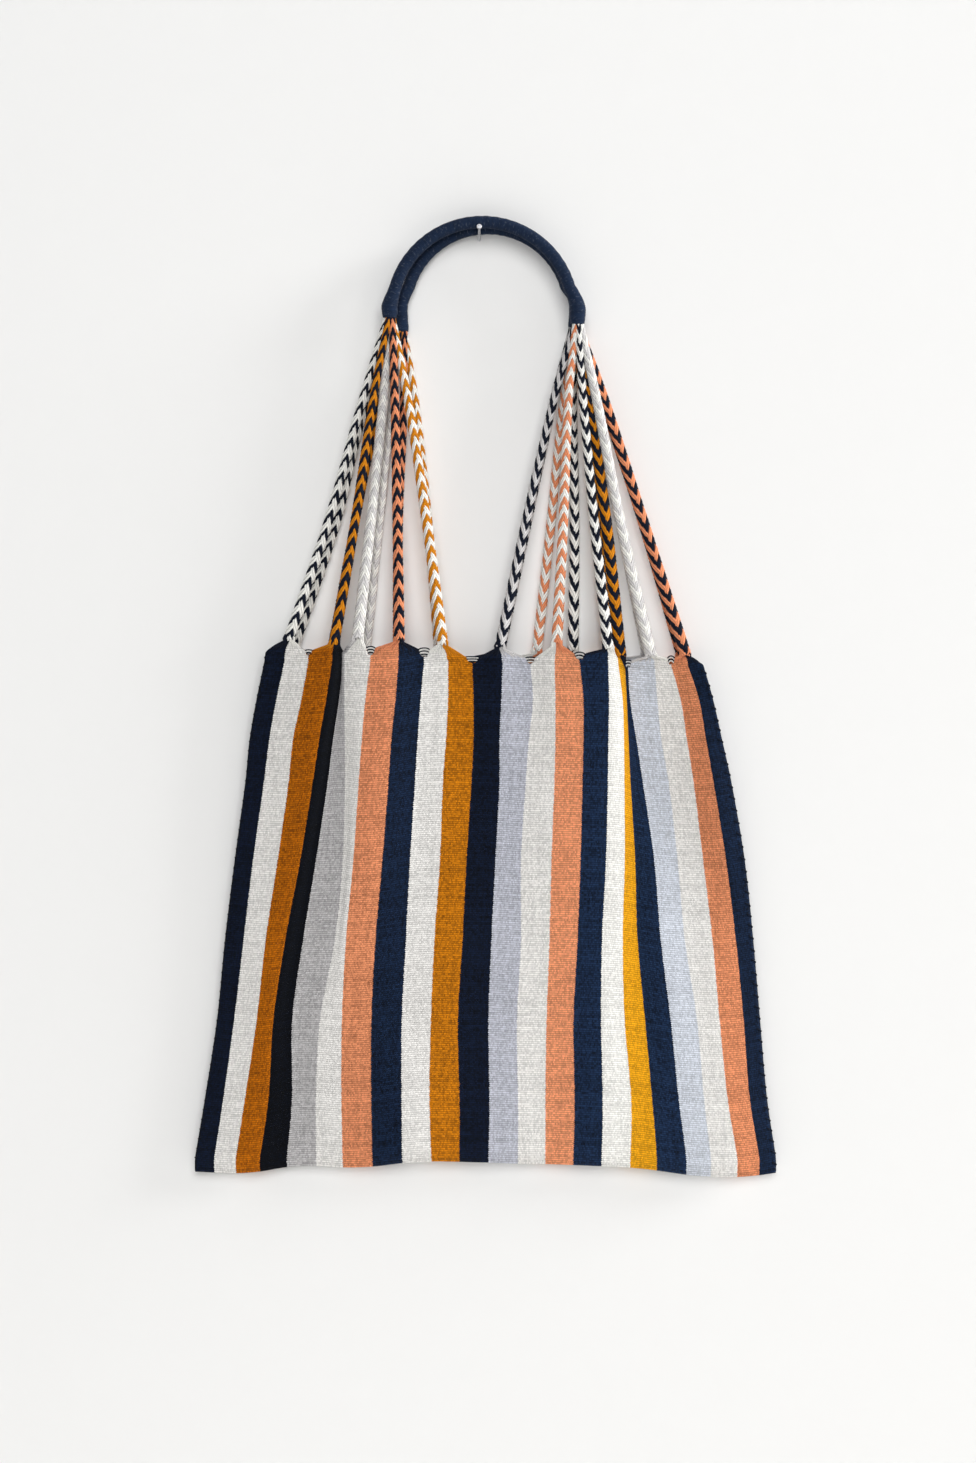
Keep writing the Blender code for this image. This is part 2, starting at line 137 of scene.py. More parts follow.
# Each braid draws its pair of stripes a little forward, less and less down the cloth.
DRAW_DEPTH = 0.9
DRAW_FADE = 110.0
UNEVEN_DEPTH = 0.45
COLUMNS_A_PAIR = 16
PEAK_LEVELS = (1.0, 0.88, 0.77, 0.7, 0.62, 0.54, 0.46, 0.38, 0.3, 0.22, 0.14, 0.07, 0.03, 0.0)
SLOT_FOOT = 0.35
NECK_LEVELS = (0.18, 0.38, 0.58, 0.79, 1.0)
NECK_FOOT = -345.0
BODY_STEP = 5.0
FOLD_START = -655.0
FOLD_LEVELS = (0.15, 0.3, 0.45, 0.6, 0.72, 0.82, 0.89, 0.94, 0.975, 0.993, 1.0)
FOLD_DEPTH_SHARE = 0.45


def blend(start, end, share):
    return start + (end - start) * share


def smooth_value(stations, values, at):
    """A smooth curve through one value at each station, read at any places between the first and the last."""
    stations = np.asarray(stations, float)
    at = np.clip(np.asarray(at, float), stations[0], stations[-1])
    values = np.broadcast_to(np.asarray(values, float), at.shape + stations.shape)
    last = len(stations) - 1
    k = np.clip(np.searchsorted(stations, at, side="right") - 1, 0, last - 1)

    def value(i):
        return np.take_along_axis(values, i[..., None], -1)[..., 0]

    def slope(i):
        before, after = np.maximum(i - 1, 0), np.minimum(i + 1, last)
        return (value(after) - value(before)) / (stations[after] - stations[before])

    span = stations[k + 1] - stations[k]
    t = (at - stations[k]) / span
    along = value(k) * (1 + 2 * t) * (1 - t) ** 2 + value(k + 1) * t * t * (3 - 2 * t)
    return along + span * (slope(k) * t * (1 - t) ** 2 - slope(k + 1) * t * t * (1 - t))


def front_surface(stripe, z):
    """The front panel's (x, depth) at stripe counts and heights, given as two arrays."""
    def read(heights, table):
        lines = smooth_value([-h for h in heights], table, np.repeat(-z[..., None], STRIPES + 1, -1))
        return smooth_value(range(STRIPES + 1), lines, stripe)

    x = read(EDGE_HEIGHTS, [edge.x for edge in STRIPE_EDGES])
    depth = read(DEPTH_HEIGHTS, [edge.depth for edge in STRIPE_EDGES])
    inside = np.sin(np.pi * stripe / STRIPES) ** 0.5
    fade = np.exp((z - EDGE_HEIGHTS[0]) / DRAW_FADE)
    depth = depth - DRAW_DEPTH * fade * inside * np.cos(np.pi * stripe)
    return x, depth


def back_surface(stripe, z):
    """The back panel hangs nearly flat against the wall, and curls forward to the side seams."""
    left = front_surface(np.zeros_like(z), z)[0]
    right = front_surface(np.full_like(z, STRIPES), z)[0]
    depth = BACK_DEPTH + BACK_RIPPLE * np.sin(stripe * RIPPLE_TURN_A_STRIPE + z / RIPPLE_HEIGHT)
    for seam in (0.0, float(STRIPES)):
        near = np.clip(1 - abs(stripe - seam) / SEAM_CURL_STRIPES, 0, 1) ** 2
        depth = blend(depth, front_surface(np.full_like(z, seam), z)[1], near)
    return blend(left, right, stripe / STRIPES), depth


def dip_height(feet, number):
    """The height of the dip before a pair of stripes, and after the last pair."""
    before, after = max(number - 1, 0), min(number, PAIRS - 1)
    return blend(feet[before].z, feet[after].z, 0.5) - feet[before].dip


def base_height(feet, stripe):
    """The height of the line that joins the dips."""
    return np.interp(stripe / 2, range(PAIRS + 1), [dip_height(feet, n) for n in range(PAIRS + 1)])


FRONT_PANEL = (front_surface, FRONT_FEET, FRONT_DIPS)
BACK_PANEL = (back_surface, BACK_FEET, BACK_DIPS)


def edge_pull(surface, feet, dips, pair, end, level):
    """How far the left (0) or right (1) edge of a pair of stripes is drawn in to its braid's foot, from 0 to 1."""
    dip = np.array(dips)[pair + end]
    foot = np.array(feet)[pair]
    low = base_height(feet, 2.0 * (pair + end))
    edge_x = surface(2.0 * (pair + end), low)[0]
    reach = np.abs(edge_x - foot[..., 0] - (2 * end - 1) * PEAK_HALF_WIDTH)
    slot_level = np.minimum(dip[..., 1] / (foot[..., 1] - low), 0.8 * GATHERED_LEVEL)
    slot_pull = np.clip(dip[..., 0] / 2 / reach, 0, 0.9)
    over_slot = np.clip((level - slot_level) / (GATHERED_LEVEL - slot_level), 0, 1)
    return slot_pull * np.clip(level / slot_level, 0, 1) ** SLOT_FOOT + (1 - slot_pull) * over_slot ** dip[..., 2]


def peak_point(panel, pair, share, level):
    """A point (x, depth, z) near a panel's edge. Share runs across the pair, level from the dips to the foot."""
    surface, feet, dips = panel
    pair, share, level = np.broadcast_arrays(pair, np.asarray(share, float), np.asarray(level, float))
    stripe = 2 * (pair + share)
    table = np.array(feet)[pair]
    low = base_height(feet, stripe)
    z = blend(low, table[..., 1], level)
    x, depth = surface(stripe, np.minimum(z, low))
    pull = blend(*(edge_pull(surface, feet, dips, pair, end, level) for end in (0, 1)), share)
    foot_x = table[..., 0] + (2 * share - 1) * PEAK_HALF_WIDTH
    bulge = PEAK_BULGE * np.sin(np.pi * np.clip(level, 0, 1)) * (1 - (2 * share - 1) ** 2)
    return blend(x, foot_x, pull), blend(depth, table[..., 2], pull) + bulge, z


def cloth_rows(panel):
    """Every row of a panel's points, one column set for each pair: arrays of x, depth and z, each with the
    warp's height over the fold and how far it is gathered."""
    surface, feet, _ = panel
    pair, step = np.meshgrid(range(PAIRS), range(COLUMNS_A_PAIR + 1), indexing="ij")
    share = step / COLUMNS_A_PAIR
    stripe = 2 * (pair + share)
    fold = smooth_value(range(STRIPES + 1), [edge.fold for edge in STRIPE_EDGES], stripe)
    rows = []
    for level in PEAK_LEVELS:
        rows.append((*peak_point(panel, pair, share, level), np.full_like(share, level)))
    low = base_height(feet, stripe)
    heights = [blend(low, NECK_FOOT, level) for level in NECK_LEVELS]
    steps = round((NECK_FOOT - FOLD_START) / BODY_STEP)
    heights += [np.full_like(low, NECK_FOOT - BODY_STEP * (k + 1)) for k in range(steps)]
    heights += [blend(FOLD_START, fold, level) for level in FOLD_LEVELS]
    for z in heights:
        rows.append((*surface(stripe, z), z, np.zeros_like(share)))
    return rows, stripe, fold


def close_fold(front_rows, back_rows):
    """The two panels curve together into the fold at the foot."""
    for level, front, back in zip(FOLD_LEVELS[::-1], front_rows[::-1], back_rows[::-1]):
        closing = 1 - math.sqrt(1 - level**3)
        middle = blend(front[1], back[1], FOLD_DEPTH_SHARE)
        for row in (front, back):
            row[1][:] = blend(row[1], middle, closing)
        back[0][:] = blend(back[0], front[0], closing)


def uneven(x, z):
    """Slow, soft unevenness of hand-woven cloth, from -1 to 1."""
    broad = noise.noise(Vector((x / 38.0, z / 95.0, 0.0)))
    return broad + 0.5 * noise.noise(Vector((x / 14.0, z / 40.0, 7.0)))


def make_object(name, mesh, finishes):
    """A new object in the scene, with every face smooth."""
    mesh.shade_smooth()
    for finish in finishes:
        mesh.materials.append(finish)
    item = bpy.data.objects.new(name, mesh)
    bpy.context.scene.collection.objects.link(item)
    return item


def weave_cloth(name, finish):
    """One sheet: the front panel, the fold and the back panel, which share their points at the side seams."""
    front_rows, stripe, fold = cloth_rows(FRONT_PANEL)
    back_rows, _, _ = cloth_rows(BACK_PANEL)
    close_fold(front_rows, back_rows)
    panels = (front_rows, back_rows)
    base_row = len(PEAK_LEVELS) - 1
    last_row = len(front_rows) - 1
    last_column = PAIRS * COLUMNS_A_PAIR
    points = []
    numbers = {}

    def corner(panel, row, pair, step):
        column = pair * COLUMNS_A_PAIR + step
        if row < base_row:
            column = (pair, step)
        elif row == last_row or column in (0, last_column):
            panel = 0
        key = panel, row, column
        if key not in numbers:
            x, depth, z = (float(values[pair, step]) for values in panels[panel][row][:3])
            if panel == 0 and 0 < pair * COLUMNS_A_PAIR + step < last_column:
                depth += UNEVEN_DEPTH * uneven(x, z)
            numbers[key] = len(points)
            points.append((x * MM, -depth * MM, z * MM))
        return numbers[key]

    faces = []
    weave = []
    gather = []
    for panel, rows in enumerate(panels):
        side = -1 if panel else 1
        for row in range(last_row):
            for pair in range(PAIRS):
                for step in range(COLUMNS_A_PAIR):
                    ring = ((row, step), (row + 1, step), (row + 1, step + 1), (row, step + 1))
                    if panel:
                        ring = ring[::-1]
                    faces.append([corner(panel, r, pair, s) for r, s in ring])
                    for r, s in ring:
                        height = (rows[r][2][pair, s] - fold[pair, s]) * MM
                        weave += (stripe[pair, s], side * height)
                        gather += (rows[r][3][pair, s], 0.0)
    mesh = bpy.data.meshes.new(name)
    mesh.from_pydata(points, [], faces)
    mesh.uv_layers.new(name="weave").data.foreach_set("uv", np.array(weave, np.float32))
    mesh.uv_layers.new(name="gather").data.foreach_set("uv", np.array(gather, np.float32))
    cloth = make_object(name, mesh, [finish])
    thicken = cloth.modifiers.new("cloth thickness", "SOLIDIFY")
    thicken.thickness = CLOTH_THICKNESS * MM
    thicken.offset = 0.0
    return cloth


def colour(red, green, blue):
    """A colour as a paint chart gives it, from 0 to 255, for a shader."""
    chart = [value / 255 for value in (red, green, blue)]
    return (*(c / 12.92 if c <= 0.04045 else ((c + 0.055) / 1.055) ** 2.4 for c in chart), 1.0)


class Shade:
    """One value, colour or direction in a finish. Sums with it add the nodes that they need."""

    def __init__(self, finish, socket):
        self.finish = finish
        self.socket = socket

    def maths(self, operation, *others):
        settings = {"operation": operation}
        return self.finish.node("ShaderNodeMath", settings, dict(enumerate((self, *others))))

    def __add__(self, other):
        return self.maths("ADD", other)

    def __radd__(self, other):
        return self.maths("ADD", other)

    def __sub__(self, other):
        return self.maths("SUBTRACT", other)

    def __rsub__(self, other):
        return (self * -1) + other

    def __mul__(self, other):
        return self.maths("MULTIPLY", other)

    def __rmul__(self, other):
        return self.maths("MULTIPLY", other)

    def __truediv__(self, other):
        return self.maths("DIVIDE", other)

    def __pow__(self, other):
        return self.maths("POWER", other)

    def floor(self):
        return self.maths("FLOOR")

    def fraction(self):
        return self.maths("FRACT")

    def sine(self):
        return self.maths("SINE")

    def size(self):
        return self.maths("ABSOLUTE")

    def over(self, low, high):
        """0 below low, 1 above high, and smooth between them."""
        inputs = {"Value": self, "From Min": low, "From Max": high}
        return self.finish.node("ShaderNodeMapRange", {"interpolation_type": "SMOOTHSTEP"}, inputs)

    def dim(self, amount):
        """A colour made darker or lighter by a value."""
        return self.finish.node("ShaderNodeVectorMath", {"operation": "SCALE"}, {0: self, "Scale": amount})

    def mixed(self, other, amount):
        """This colour with a share of another colour over it."""
        return self.finish.mixed(self, other, amount)


class Finish:
    """A material with its node tree. Constants go on the shader's own sockets."""

    def __init__(self, name, **constants):
        self.material = bpy.data.materials.new(name)
        self.material.use_nodes = True
        self.tree = self.material.node_tree
        self.shader = self.tree.nodes["Principled BSDF"]
        for socket, value in constants.items():
            self.shader.inputs[socket.replace("_", " ")].default_value = value

    def node(self, kind, settings=None, inputs=None, output=0):
        """Adds a node: first its settings, then the values or links of its sockets."""
        node = self.tree.nodes.new(kind)
        for name, value in (settings or {}).items():
            if name == "stops":
                ramp = node.color_ramp.elements
                while len(ramp) < len(value):
                    ramp.new(0.0)
                for stop, (position, tone) in zip(ramp, value):
                    stop.position = position
                    stop.color = tone
            elif name == "interpolation":
                node.color_ramp.interpolation = value
            else:
                setattr(node, name, value)
        for name, value in (inputs or {}).items():
            if isinstance(value, Shade):
                self.tree.links.new(value.socket, node.inputs[name])
            else:
                node.inputs[name].default_value = value
        return Shade(self, node.outputs[output])

    def place(self, layer):
        """The two directions of a mesh's own measure."""
        point = self.node("ShaderNodeUVMap", {"uv_map": layer})
        return [self.node("ShaderNodeSeparateXYZ", None, {"Vector": point}, output=k) for k in (0, 1)]

    def point(self, x, y, z=0.0):
        return self.node("ShaderNodeCombineXYZ", None, {"X": x, "Y": y, "Z": z})

    def chance(self, x, y):
        """A random value from 0 to 1 for each pair of whole numbers."""
        place = self.point(x, y)
        return self.node("ShaderNodeTexWhiteNoise", {"noise_dimensions": "3D"}, {"Vector": place})

    def cloud(self, x, y, z=0.0, detail=2.0):
        """Soft random values around 0.5."""
        inputs = {"Vector": self.point(x, y, z), "Scale": 1.0, "Detail": detail}
        return self.node("ShaderNodeTexNoise", None, inputs)

    def tinted(self, dye, amount):
        """A dye made darker or lighter by a value."""
        return self.node("ShaderNodeVectorMath", {"operation": "SCALE"}, {0: dye[:3], "Scale": amount})

    def mixed(self, first, second, amount):
        inputs = {"Factor": amount, 6: first, 7: second}
        return self.node("ShaderNodeMix", {"data_type": "RGBA"}, inputs, output=2)

    def relief(self, height, depth_metres, strength=1.0):
        """A raised surface, for the shader's Normal."""
        inputs = {"Strength": strength, "Distance": depth_metres, "Height": height}
        bump = self.node("ShaderNodeBump", None, inputs)
        self.set("Normal", bump)

    def set(self, socket, shade):
        self.tree.links.new(shade.socket, self.shader.inputs[socket])


# The same dye comes out a little lighter or darker from one lot of yarn to the next. Some stripes also carry
# painted light and shade of the folds: the first mustard stripe and the navy down in the fold at the left have
# painted shade, and the brightest white, the yellow mustard and the last lavender grey stripe have painted light.
NAVY = colour(25, 42, 69)
DUSK_NAVY = colour(18, 32, 55)
DEEP_NAVY = colour(11, 20, 38)
# Painted shade: a navy darker still, for the stripe down in the fold at the left.
FOLD_SHADED_NAVY = colour(5, 8, 16)
WHITE = colour(225, 223, 220)
MUSTARD = colour(186, 111, 12)
# Painted shade: a darker mustard for the first mustard stripe, which turns away from the light.
SHADED_MUSTARD = colour(172, 94, 6)
# Painted light: a lighter white and a lighter mustard for two stripes that face the light.
LIT_WHITE = colour(231, 230, 226)
LIT_MUSTARD = colour(227, 159, 24)
WARM_GREY = colour(181, 179, 180)
LAVENDER_GREY = colour(184, 186, 197)
# Painted light: a lighter lavender grey for the last grey stripe, which faces the light.
LIT_LAVENDER = colour(199, 204, 214)
CORAL = colour(214, 136, 96)
LIGHT_CORAL = colour(226, 147, 106)
STRIPE_ORDER = (
    *(DEEP_NAVY, WHITE, SHADED_MUSTARD, FOLD_SHADED_NAVY, WARM_GREY, WHITE, CORAL, DUSK_NAVY, WHITE, MUSTARD, DEEP_NAVY),
    *(LAVENDER_GREY, WHITE, LIGHT_CORAL, NAVY, LIT_WHITE, LIT_MUSTARD, NAVY, LIT_LAVENDER, WHITE, CORAL),
    DUSK_NAVY,
)
RIB_PITCH_METRES = 0.00158
YARNS_A_STRIPE = 20
# Shares of a stripe: how far its edge steps in and out from rib to rib, and how unevenly.
EDGE_ZIGZAG = 0.032
EDGE_SHIFT = 0.02
EDGE_UNEVENNESS = 0.02
# Painted shade darkens the grooves between ribs, more on deep dyes than on pale ones, and the sides of each warp yarn.
GROOVE_SHADE = 0.26
DEEP_GROOVE_SHADE = 0.32
YARN_EDGE_SHADE = 0.16
DEEP_DYE_CONTRAST = 2.2
RIB_RELIEF_METRES = 0.0004


def striped_finish():
    """Warp floats in rows, half a yarn apart from rib to rib, with painted shade in the grooves between the
    ribs and along the sides of each yarn.
    """
    cotton = Finish("striped_cotton", Specular_IOR_Level=0.08, Sheen_Weight=0.02, Sheen_Roughness=0.6)
    across, along = cotton.place("weave")
    gathered, _ = cotton.place("gather")
    pick = along / RIB_PITCH_METRES
    row = pick.floor()
    crown = (pick.fraction() * math.pi).sine()
    odd_row = (row * 0.5).fraction() * 2
    yarn = across * YARNS_A_STRIPE + odd_row * 0.5
    float_crown = (yarn.fraction() * math.pi).sine()
    each_float = cotton.chance(yarn.floor(), row)

    shift = crown * EDGE_ZIGZAG - EDGE_SHIFT + (cotton.chance(row, 3.0) - 0.5) * EDGE_UNEVENNESS
    stripe = (across + shift).floor()
    stops = [(k / STRIPES, tone) for k, tone in enumerate(STRIPE_ORDER)]
    dyed = cotton.node(
        "ShaderNodeValToRGB", {"stops": stops, "interpolation": "CONSTANT"}, {"Fac": (stripe + 0.5) / STRIPES}
    )
    streak = cotton.cloud(across * YARNS_A_STRIPE * 0.6, along * 20.0, detail=3.0)
    patch = cotton.cloud(across * 1.3, along * 30.0, 5.0)
    each_row = cotton.chance(row, 11.0)
    deep = 1 - cotton.node("ShaderNodeRGBToBW", None, {"Color": dyed})
    uneven_dye = (each_float - 0.5) * 0.34 + (streak - 0.5) * 0.3 + (each_row - 0.5) * 0.12
    tone = 1.06 + uneven_dye * (1.0 + deep ** 3 * DEEP_DYE_CONTRAST) + (patch - 0.5) * 0.14
    # Painted shade: darker in the grooves between ribs, fading out where the warp is gathered, and darker at the sides
    # of each warp yarn.
    groove = 1 - crown.over(0.05, 0.65)
    woven = 1 - gathered.over(0.25, 0.7)
    tone = tone * (1 - groove * woven * (GROOVE_SHADE + deep * DEEP_GROOVE_SHADE))
    tone = tone * (1 - (1 - float_crown.over(0.0, 0.55)) * YARN_EDGE_SHADE)
    cotton.set("Base Color", dyed.dim(tone))
    cotton.set("Roughness", 0.82 + each_float * 0.12)
    fibres = cotton.cloud(across * YARNS_A_STRIPE * 5, along * 900.0, detail=2.0)
    ribs = (crown ** 0.6) * (0.55 + float_crown * 0.45)
    ends = float_crown ** 0.7
    height = ribs * woven + ends * (1 - woven) + fibres * 0.25
    cotton.relief(height, RIB_RELIEF_METRES, 0.8)
    return cotton.material


striped_cotton = striped_finish()
bag_cloth = weave_cloth("woven_cloth", striped_cotton)
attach(bag_cloth, "root")
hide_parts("bag_cloth")


# The side seams are sewn over and over with navy yarn, round the edges of both panels. It shows as a row of
# small bumps down the right side, and lies flatter down the left.
Seam = namedtuple("Seam", "name stripe side pitch radius inset")
SEAMS = (
    Seam("left", 0, -1, 7.0, 0.34, 2.2),
    Seam("right", STRIPES, 1, 8.5, 0.55, 2.8),
)
SEAM_TOP_DROP = 3.5
SEAM_FOOT = -692.0
SEAM_SIDES = 6
STITCH_LEAN = 0.25
STITCH_STAND_OFF = 0.75
EDGE_STRIPE_WIDTH = 13.0


def loft(rings):
    """Points and faces of a tube with closed ends, through rings of points, all with the same count."""
    rings = np.asarray(rings, float)
    count, sides = rings.shape[:2]
    k, j = np.meshgrid(range(count - 1), range(sides), indexing="ij")
    after = (j + 1) % sides
    faces = np.stack((k * sides + j, k * sides + after, (k + 1) * sides + after, (k + 1) * sides + j), -1)
    faces = faces.reshape(-1, 4).tolist()
    faces.append(list(range(sides))[::-1])
    faces.append(list(range((count - 1) * sides, count * sides)))
    return rings.reshape(-1, 3), faces


def directions(centres):
    """The way forward, the way to one side and the way out at each point of a route."""
    forward = np.gradient(centres, axis=0)
    forward /= np.linalg.norm(forward, axis=1, keepdims=True) + 1e-12
    viewer = np.array((0.0, -1.0, 0.0))
    side = np.cross(viewer, forward)
    short = np.linalg.norm(side, axis=1) < 0.05
    side[short] = (1.0, 0.0, 0.0)
    side /= np.linalg.norm(side, axis=1, keepdims=True)
    return forward, side, np.cross(forward, side)


def round_yarn(centres, radius, sides=SEAM_SIDES):
    """Rings of a round yarn along points given as (x, depth, z)."""
    centres = np.asarray(centres, float)
    route = np.stack((centres[:, 0], -centres[:, 1], centres[:, 2]), 1) * MM
    _, side, out = directions(route)
    turn = np.linspace(0, 2 * math.pi, sides, endpoint=False)
    radius = np.broadcast_to(np.asarray(radius, float), len(route))[:, None, None] * MM
    ring = np.cos(turn)[None, :, None] * side[:, None] + np.sin(turn)[None, :, None] * out[:, None]
    return route[:, None] + ring * radius


class Bundle:
    """Yarns that are gathered into one mesh. Each has its own measure: turns round it and metres along it."""

    def __init__(self):
        self.points = []
        self.faces = []
        self.finishes = []
        self.measure = []

    def add(self, rings, finish=0):
        points, faces = loft(rings)
        first = sum(len(p) for p in self.points)
        sides = rings.shape[1]
        along = np.linalg.norm(np.diff(rings.mean(axis=1), axis=0), axis=1)
        along = np.concatenate(((0.0,), np.cumsum(along)))
        for face in faces:
            wraps = len(face) == 4 and face[1] % sides == 0
            for n, corner in enumerate(face):
                turn = (corner % sides) / sides + (1.0 if wraps and n in (1, 2) else 0.0)
                self.measure += (turn, along[corner // sides])
        self.points.append(points)
        self.faces += [[corner + first for corner in face] for face in faces]
        self.finishes += [finish] * len(faces)

    def build(self, name, finishes):
        mesh = bpy.data.meshes.new(name)
        mesh.from_pydata(np.concatenate(self.points).tolist(), [], self.faces)
        mesh.uv_layers.new(name="yarn").data.foreach_set("uv", np.array(self.measure, np.float32))
        item = make_object(name, mesh, finishes)
        mesh.polygons.foreach_set("material_index", self.finishes)
        return item


def yarn_finish(name, dye, pale=0.10, crease_shade=0.42):
    """Matt twisted cotton yarn: slanting plies with fine fibres along them, and painted shade between the plies
    and where yarns lie together.
    """
    cotton = Finish(name, Specular_IOR_Level=0.08, Sheen_Weight=0.03, Sheen_Roughness=0.6)
    around, along = cotton.place("yarn")
    twist = around * 5 + along * 420.0
    ply = (twist.fraction() * math.pi).sine()
    fibre = cotton.cloud(around * 22.0 + along * 900.0, along * 260.0, detail=3.0)
    patch = cotton.cloud(around * 1.5, along * 120.0, 3.0)
    # Painted shade: darker between the slanting plies, and darker still between the two plies of a strand and at its
    # sides, where yarns lie together.
    tone = 0.78 + ply * 0.16 + fibre * 0.30 + patch * 0.14
    crest = (around * (4 * math.pi)).sine().size()
    tone = tone * (1 - (1 - crest.over(0.0, 0.8)) * crease_shade)
    lint = cotton.cloud(around * 12.0 + along * 300.0, along * 90.0, 9.0).over(0.58, 0.8)
    cotton.set("Base Color", cotton.tinted(dye, tone).mixed(colour(205, 200, 190), lint * pale))
    cotton.set("Roughness", 0.86 + fibre * 0.1)
    cotton.relief(ply * 0.6 + fibre * 0.7, 0.00035, 0.8)
    return cotton.material


def sew_seam(seam, finish):
    """Slanting stitches that pass from the front panel round the edge to the back panel."""
    bundle = Bundle()
    draw = random.Random(seam.name)
    z = dip_height(FRONT_FEET, seam.stripe // 2) - SEAM_TOP_DROP
    while z > SEAM_FOOT:
        reach = np.linspace(-1.0, 1.0, 9)
        heights = z - seam.pitch * STITCH_LEAN * reach + draw.uniform(-0.4, 0.4)
        bend = reach * math.pi / 2
        inset = seam.inset * draw.uniform(0.85, 1.1) / EDGE_STRIPE_WIDTH
        stripe = seam.stripe - seam.side * inset * (1 - np.cos(bend))
        front, back = front_surface(stripe, heights), back_surface(stripe, heights)
        x, depth = (np.where(reach < 0, *ways) for ways in zip(front, back))
        x = x + seam.side * STITCH_STAND_OFF * np.cos(bend)
        depth = depth - np.sin(bend) * (CLOTH_THICKNESS / 2 + seam.radius * 0.5)
        bundle.add(round_yarn(np.stack((x, depth, heights), 1), seam.radius))
        z -= seam.pitch * draw.uniform(0.9, 1.1)
    stitches = bundle.build(f"seam_stitches_{seam.name}", [finish])
    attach(stitches, "root")
    return stitches


navy_yarn = yarn_finish("navy_yarn", colour(17, 23, 38), pale=0.05)
seam_stitches = [sew_seam(seam, navy_yarn) for seam in SEAMS]


# In each dip of the top edge a few turns of weft run bare from one pair of stripes to the next, navy and
# white by turns, where there is no warp between them to cover them.
WEFT_RADIUS = 0.47
white_yarn = yarn_finish("white_yarn", colour(232, 231, 226), pale=0.0)


def bare_weft(name, panel, lift):
    """Short arcs of weft across every dip of one panel."""
    bundle = Bundle()
    _, feet, dips = panel
    t = np.linspace(-0.06, 1.06, 9)
    rise = np.sqrt(np.clip(4 * t * (1 - t), 0, 1))
    for number, dip in enumerate(dips):
        if dip.turns:
            low = dip_height(feet, number)
            height = low + dip.top * (1 - np.arange(dip.turns) / (dip.turns + 0.4))
            left, right = (
                np.array(peak_point(panel, pair, share, (height - low) / (feet[pair].z - low)))[..., None]
                for pair, share in ((number - 1, 1.0), (number, 0.0))
            )
            x, depth, z = blend(left, right, t)
            z = z + dip.arch * np.abs(right - left)[0] * rise
            for turn, arc in enumerate(np.stack((x, depth + lift, z), -1)):
                bundle.add(round_yarn(arc, WEFT_RADIUS), turn % 2)
    weft = bundle.build(name, [navy_yarn, white_yarn])
    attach(weft, "root")
    return weft


bare_wefts = [
    bare_weft("bare_weft_front", FRONT_PANEL, 0.2),
    bare_weft("bare_weft_back", BACK_PANEL, 0.0),
]


# The braids are the cloth's own warp. The ends of each pair of stripes leave the peak in a fan and are plaited
# in a round braid of twelve strands, six turning each way, every one over three and under three. The strands
# are yarn of two plies, in the two colours of the stripes below.
BRAIDS_IN_LEFT_END = 5
SLOT_RING_RADIUS = 2.4
HIGH_MARK = -125.0
MIDDLE_MARK = -213.0
HIGH_SHARE = 0.25
MIDDLE_SHARE = 0.62
MIDDLE_LAYER_SHARE = 0.3
GAP = 0.3
# Slot angle in the handle's end, layer, the x of the high and middle marks, the length in which the two colours
# repeat, which way the chevrons point (1 down and -1 up), how wide the braid is beside the others, and how far
# forward it hangs at its middle to pass in front of its neighbour.
Braid = namedtuple("Braid", "slot_angle layer high_x middle_x repeat point width forward", defaults=[0.0])
FRONT_BRAIDS = (
    Braid(180, -0.5, -87.4, -111.9, 13.5, -1, 0.98),
    Braid(108, 1.0, -78.8, -91.8, 13.2, -1, 0.93),
    Braid(252, -0.5, -71.4, -80.3, 13.0, -1, 1.06),
    Braid(36, 1.0, -62.5, -60.6, 12.8, -1, 0.98),
    Braid(324, 0.0, -52.5, -39.1, 12.5, -1, 1.0),
    Braid(180, 0.0, 54.8, 34.7, 13.0, 1, 0.94),
    Braid(130, 1.0, 65.9, 62.2, 12.8, -1, 1.0),
    Braid(80, 0.4, 77.0, 85.0, 13.0, 1, 0.96, -3.0),
    Braid(235, -0.2, 82.2, 94.0, 13.2, 1, 1.1, 3.5),
    Braid(25, 1.0, 87.4, 104.5, 13.5, 1, 1.06),
    Braid(300, -0.6, 94.1, 121.9, 13.5, 1, 1.04),
)
BACK_BRAIDS = (
    Braid(180, -0.5, -84.7, -107.1, 13.2, -1, 1.05),
    Braid(108, 0.6, -74.6, -92.9, 13.0, -1, 1.0),
    Braid(252, -0.6, -65.2, -75.0, 12.8, 1, 1.05),
    Braid(36, 0.6, -56.6, -60.5, 13.0, -1, 1.05),
    Braid(324, -0.6, -47.6, -38.3, 13.0, -1, 1.05),
    Braid(180, -0.6, 54.6, 35.6, 13.0, 1, 1.1),
    Braid(120, 0.6, 62.2, 53.6, 12.8, 1, 1.05),
    Braid(240, -0.6, 70.0, 71.1, 13.0, 1, 1.12),
    Braid(60, 0.6, 77.4, 87.6, 13.2, 1, 1.05),
    Braid(300, -0.6, 87.0, 105.0, 13.5, 1, 1.0),
    Braid(0, 0.0, 93.0, 121.8, 13.5, 1, 0.95),
)
Plaiting = namedtuple(
    "Plaiting", "name depth left_x left_end right_x right_end layer_depth radii step panel braids"
)
PLAITINGS = (
    Plaiting("front", 16.3, -66.4, -62.3, 72.9, -67.4, 3.2, (2.6, 3.35, 3.8, 4.3), 1.6, FRONT_PANEL, FRONT_BRAIDS),
    Plaiting("back", 5.4, -57.9, -70.4, 71.5, -67.0, 1.2, (2.2, 2.95, 3.45, 3.9), 2.5, BACK_PANEL, BACK_BRAIDS),
)
SLOT_DEPTH = 1.6
BRAID_OVERLAP = 2.0
